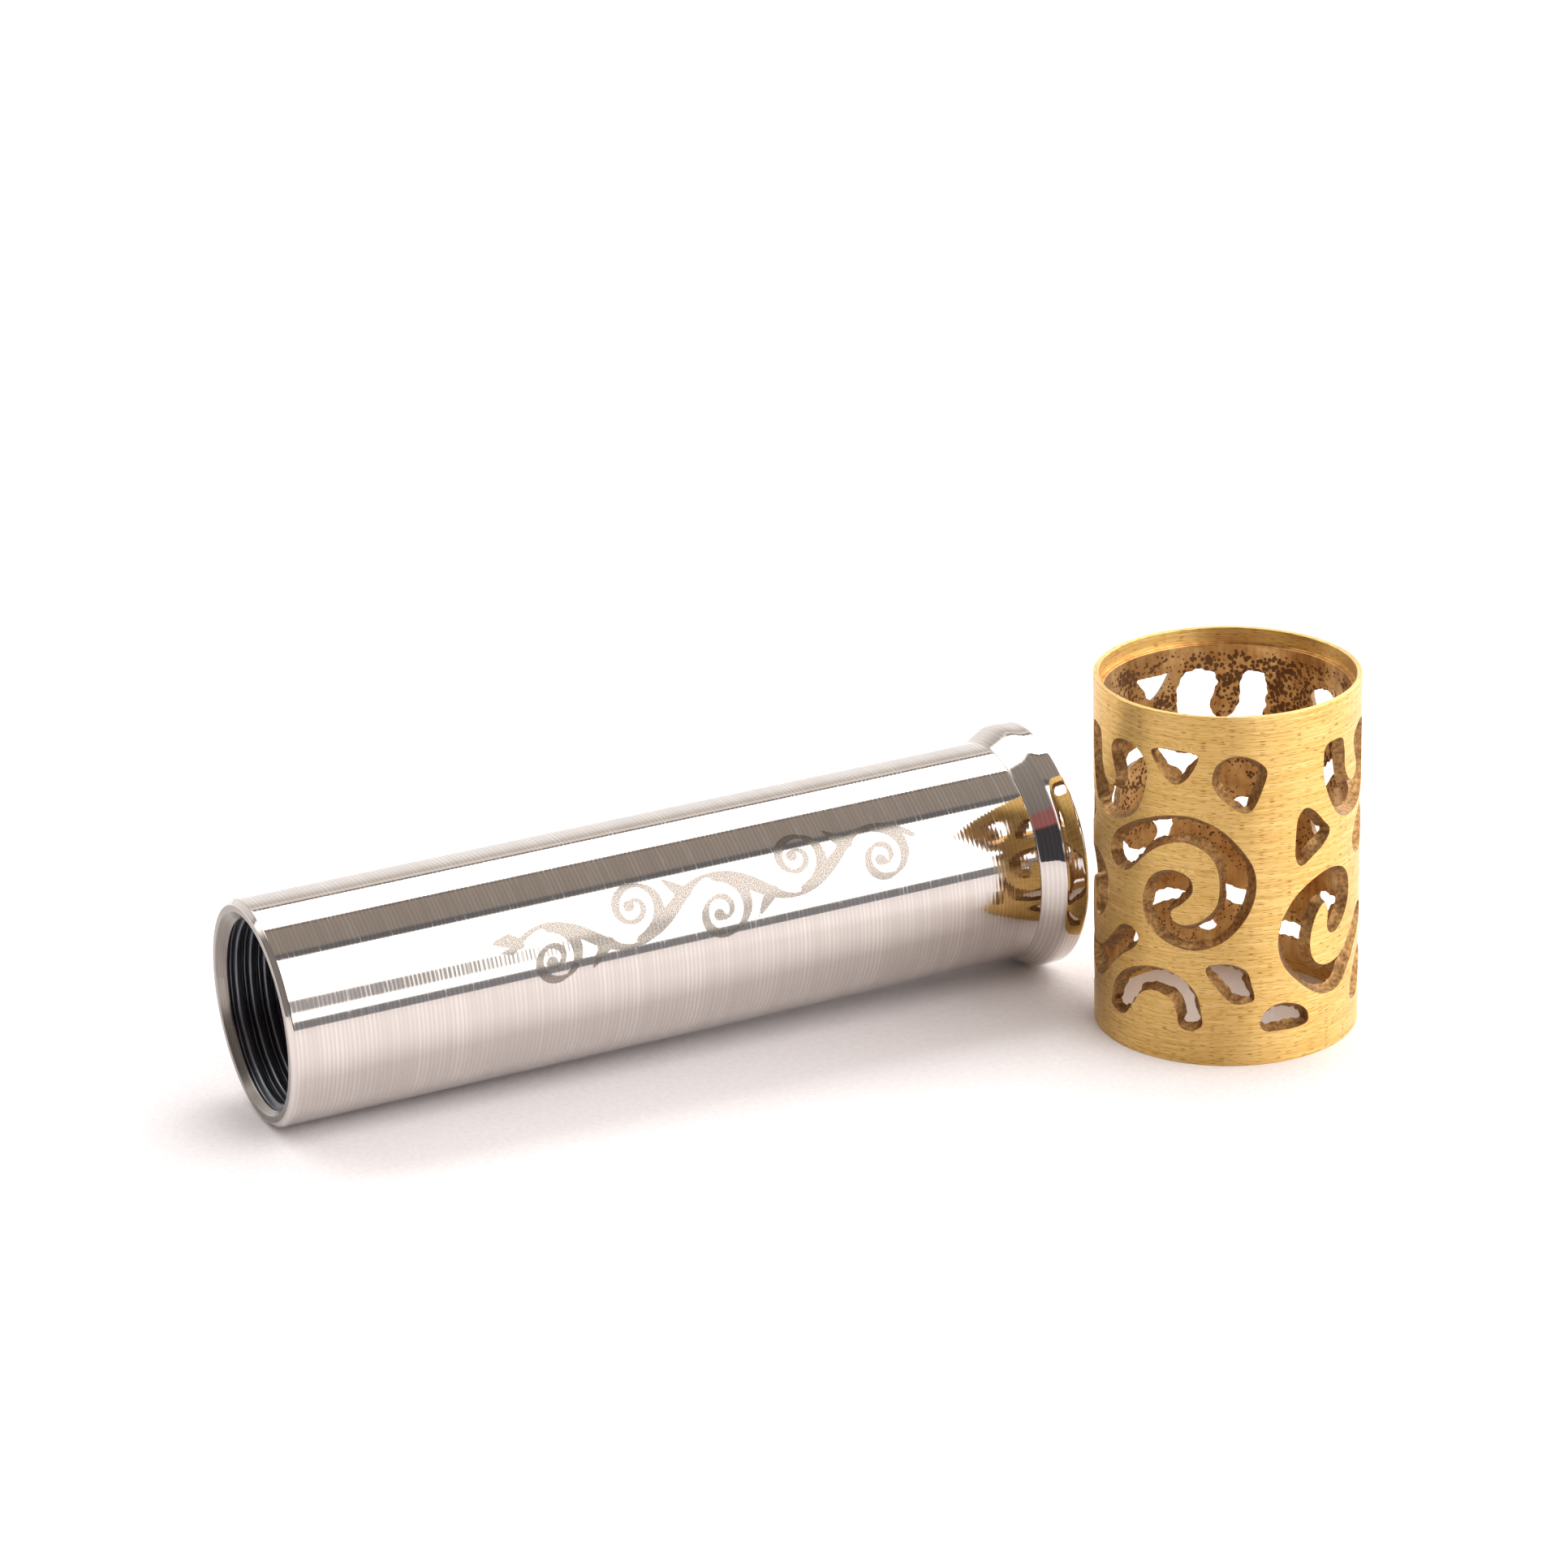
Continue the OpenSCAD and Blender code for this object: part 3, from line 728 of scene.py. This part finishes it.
def stained_brass():
    """Inside of the brass tube: drawn, never brushed, gold-brown, with dark round pits 0.3 to
    0.6 mm across where the etch stood, thickest in the sleeve's upper part under its ledge."""
    made, node = new_finish("brass_drawn_stained")
    place = node("UVMap", {}, uv_map="around_along")
    drawn = node("TexNoise", {"Vector": node("Mapping", {"Vector": place,
                                                         "Scale": (1500, 90, 1)}),
                              "Scale": 1.0})
    cloud = node("TexNoise", {"Vector": place, "Scale": 500.0, "Detail": 3.0})
    height = node("SeparateXYZ", {"Vector": place}).outputs[1]
    cells = node("TexVoronoi", {"Vector": place, "Scale": 2300.0}).outputs["Distance"]
    size = node("MapRange", {0: node("TexNoise", {"Vector": place, "Scale": 260.0}),
                             1: 0.32, 2: 0.6, 3: 0.2, 4: 0.68})
    high_up = node("MapRange", {0: height, 1: 0.012, 2: 0.031, 3: 0.45, 4: 1.0})
    under = node("MapRange", {0: height, 1: 0.0345, 2: 0.0357, 3: 1.0, 4: 0.1})
    reach = node("Math", {0: size, 1: high_up}, operation="MULTIPLY")
    reach = node("Math", {0: reach, 1: under}, operation="MULTIPLY")
    gap = node("Math", {0: cells, 1: reach}, operation="SUBTRACT")
    spot = node("MapRange", {0: gap, 1: -0.06, 2: 0.05, 3: 0.85, 4: 0.0})
    tone = node("Mix", {0: 0.6, 2: drawn, 3: cloud}, data_type="FLOAT")
    base = node("Mix", {0: node("MapRange", {0: tone, 1: 0.35, 2: 0.65}),
                        6: colour("#BA8A50"), 7: colour("#E9C384")}, data_type="RGBA")
    base = node("Mix", {0: spot, 6: base, 7: colour("#5A3A2C")}, data_type="RGBA")
    rough = node("Math", {0: spot, 1: 0.28, 2: 0.28}, operation="MULTIPLY_ADD")
    bump = node("Bump", {"Strength": 0.4, "Distance": 0.00003, "Height": spot}, invert=True)
    metal = node("BsdfPrincipled", {"Base Color": base, "Metallic": 0.95, "Roughness": rough,
                                    "Normal": bump})
    node("OutputMaterial", {0: metal})
    return made


def nitrile():
    """Moulded nitrile rubber: near black, soft sheen, a faint bloom in patches."""
    made, node = new_finish("nitrile_rubber_moulded")
    where = node("TexCoord", {}).outputs["Object"]
    bloom = node("TexNoise", {"Vector": where, "Scale": 900.0, "Detail": 3.0})
    base = node("Mix", {0: node("MapRange", {0: bloom, 1: 0.35, 2: 0.7}),
                        6: colour("#17171A"), 7: colour("#2B2B2E")}, data_type="RGBA")
    rough = node("MapRange", {0: bloom, 1: 0.3, 2: 0.7, 3: 0.45, 4: 0.6})
    bump = node("Bump", {"Strength": 0.3, "Distance": 0.00001, "Height": bloom})
    rubber = node("BsdfPrincipled", {"Base Color": base, "Roughness": rough, "Normal": bump})
    node("OutputMaterial", {0: rubber})
    return made


def table_paper():
    """Matt white paper sweep with a faint tooth, its grain drawn at 0.6 mm, and a painted shade
    that makes it a little greyer toward the viewer, where the light falls off."""
    made, node = new_finish("white_paper_matt")
    where = node("TexCoord", {}).outputs["Object"]
    tooth = node("TexNoise", {"Vector": where, "Scale": 1600.0, "Detail": 4.0})
    base = node("Mix", {0: node("MapRange", {0: tooth, 1: 0.3, 2: 0.7}),
                        6: colour("#EDE8E9"), 7: colour("#F3EFF0")}, data_type="RGBA")
    across = node("SeparateXYZ", {"Vector": where}).outputs[1]
    # painted shade: toward the viewer the paper is mixed up to half way into grey, for the light
    # falling off
    painted_falloff = node("MapRange", {0: across, 1: -0.26, 2: 0.0, 3: 0.5, 4: 0.0})
    base = node("Mix", {0: painted_falloff, 6: base, 7: colour("#D6CFD0")}, data_type="RGBA")
    bump = node("Bump", {"Strength": 0.7, "Distance": 0.00008, "Height": tooth})
    paper = node("BsdfPrincipled", {"Base Color": base, "Roughness": 0.75, "Normal": bump})
    node("OutputMaterial", {0: paper})
    return made


# ---- the pieces ----
# the bore's dark grey is painted shade for the inside of the barrel; its rings and oil patches are
# the steel's own
bore = turned_steel("stainless_steel_bored_painted_shade", colour("#63656C"), colour("#7F8187"), 0.36, 0.33)
faced = turned_steel("stainless_steel_faced", colour("#6E665F"), colour("#A59F99"), 0.24, 0.11)
make_barrel([polished_steel(True), bore, faced])
make_cap([polished_steel(False), faced])
make_sleeve([brushed_brass(), etched_brass(), stained_brass()])
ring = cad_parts["seal_ring"]
ring.data.materials.clear()
ring.data.materials.append(nitrile())

# ---- table, light and camera ----
floor_mesh = bpy.data.meshes.new("table")
floor_mesh.from_pydata([(-4, -4, 0), (4, -4, 0), (4, 4, 0), (-4, 4, 0)], [], [(0, 1, 2, 3)])
floor_mesh.materials.append(table_paper())
table = bpy.data.objects.new("table", floor_mesh)
bpy.context.scene.collection.objects.link(table)


def studio(world):
    """Soft light all round, read by the angle about the X axis, from the front horizon over
    the top to the back horizon. To the right: two wide soft panels with the dim ceiling between
    them and thin dark frames, a grey patch on the front panel's inner end, and a plain fill
    beyond what the barrel mirrors. To the left, a darker room with a red stripe, and dusk."""
    world.use_nodes = True
    tree = world.node_tree
    tree.nodes.clear()
    node = partial(add, tree)
    way = node("TexCoord", {}).outputs["Generated"]
    x, y, z = node("SeparateXYZ", {"Vector": way}).outputs
    angle = node("Math", {0: z, 1: node("Math", {0: y, 1: -1.0}, operation="MULTIPLY")},
                 operation="ARCTAN2")
    share = node("Math", {0: angle, 1: math.pi}, operation="DIVIDE")

    def ramp(stops):
        """Colour by angle in degrees, as a quarter of its strength, through the stops given."""
        made = node("ValToRGB", {0: share})
        bar = made.color_ramp.elements
        while len(bar) > 1:
            bar.remove(bar[-1])
        for k, (at, tint) in enumerate(stops):
            element = bar[0] if k == 0 else bar.new(at / 180)
            element.position = at / 180
            element.color = (*[c / 4 for c in tint], 1.0)
        return made.outputs[0]

    skirting, front_panel, front_frame = (0.34, 0.34, 0.36), (3.5, 3.48, 3.44), (0.2, 0.2, 0.21)
    back_frame, back_panel, back_dark = (0.24, 0.21, 0.19), (3.5, 3.5, 3.47), (0.28, 0.26, 0.25)
    right = ramp([(0, skirting), (7.6, skirting), (8.6, (2.6, 2.58, 2.5)), (30, front_panel),
                  (70, front_panel), (71.5, front_frame), (76.5, front_frame),
                  (78.5, (0.41, 0.36, 0.32)), (105.5, (0.44, 0.38, 0.33)), (107, back_frame),
                  (108.5, back_frame), (110, back_panel), (139, back_panel), (140.2, back_dark),
                  (142.8, back_dark), (143.8, (1.15, 1.08, 1.02)), (146.5, (1.05, 0.98, 0.92)),
                  (149, (0.76, 0.70, 0.65)), (153, (0.88, 0.83, 0.78)),
                  (157, (1.06, 1.01, 0.97)), (161, (1.15, 1.11, 1.08)),
                  (166, (1.2, 1.17, 1.15)), (180, (1.18, 1.16, 1.14))])
    beyond = node("MapRange", {0: x, 1: 0.48, 2: 0.54})
    right = node("Mix", {0: beyond, 6: right, 7: (0.62, 0.62, 0.62, 1)}, data_type="RGBA",
                 blend_type="LIGHTEN")
    left_panel = (2.6, 2.6, 2.58)
    left = ramp([(0, (0.07, 0.07, 0.08)), (34, (0.07, 0.065, 0.07)), (37, (0.45, 0.16, 0.15)),
                 (50, (0.40, 0.17, 0.16)), (54, (0.30, 0.27, 0.25)), (106, (0.42, 0.38, 0.35)),
                 (109, left_panel), (142, left_panel), (145, (0.4, 0.37, 0.35)),
                 (150, (0.9, 0.86, 0.83)), (180, (1.3, 1.27, 1.24))])
    inward = node("MapRange", {0: x, 1: 0.31, 2: 0.345, 3: 1.0, 4: 0.0})
    above = node("MapRange", {0: share, 1: 15 / 180, 2: 18 / 180, 3: 0.0, 4: 1.0})
    below = node("MapRange", {0: share, 1: 28 / 180, 2: 31 / 180, 3: 1.0, 4: 0.0})
    grey = node("Math", {0: inward, 1: above}, operation="MULTIPLY")
    grey = node("Math", {0: grey, 1: below}, operation="MULTIPLY")
    right = node("Mix", {0: grey, 6: right, 7: (0.13, 0.125, 0.125, 1)}, data_type="RGBA")
    dusk = (0.075, 0.07, 0.066, 1)
    far_left = node("MapRange", {0: x, 1: -0.78, 2: -0.62}, interpolation_type="SMOOTHSTEP")
    left = node("Mix", {0: far_left, 6: dusk, 7: left}, data_type="RGBA")
    side = node("MapRange", {0: x, 1: -0.25, 2: 0.1}, interpolation_type="SMOOTHSTEP")
    tint = node("Mix", {0: side, 6: left, 7: right}, data_type="RGBA")
    node("OutputWorld", {0: node("Background", {"Color": tint, "Strength": 4.0})})


world = bpy.data.worlds.new("studio")
bpy.context.scene.world = world
studio(world)

# the camera stands at eye, looks ahead, and rolls about that line by an angle in radians
lens = bpy.data.cameras.new("camera")
lens.sensor_width = 36.0
lens.lens = 118.314
lens.clip_start, lens.clip_end = 0.01, 20.0
camera = bpy.data.objects.new("camera", lens)
bpy.context.scene.collection.objects.link(camera)
eye = Vector((-0.24372, -0.42237, 0.21608))
ahead = Vector((0.38946, 0.84623, -0.36362)).normalized()
level = Vector((0.90841, -0.41807, 0.0)).normalized()
over = level.cross(ahead)
roll = -0.02776
right = level * math.cos(roll) + over * math.sin(roll)
over = over * math.cos(roll) - level * math.sin(roll)
turn = Matrix((right, over, -ahead)).transposed()
camera.matrix_world = Matrix.Translation(eye) @ turn.to_4x4()
bpy.context.scene.camera = camera
bpy.context.scene.view_settings.view_transform = "Standard"
bpy.context.scene.view_settings.look = "None"
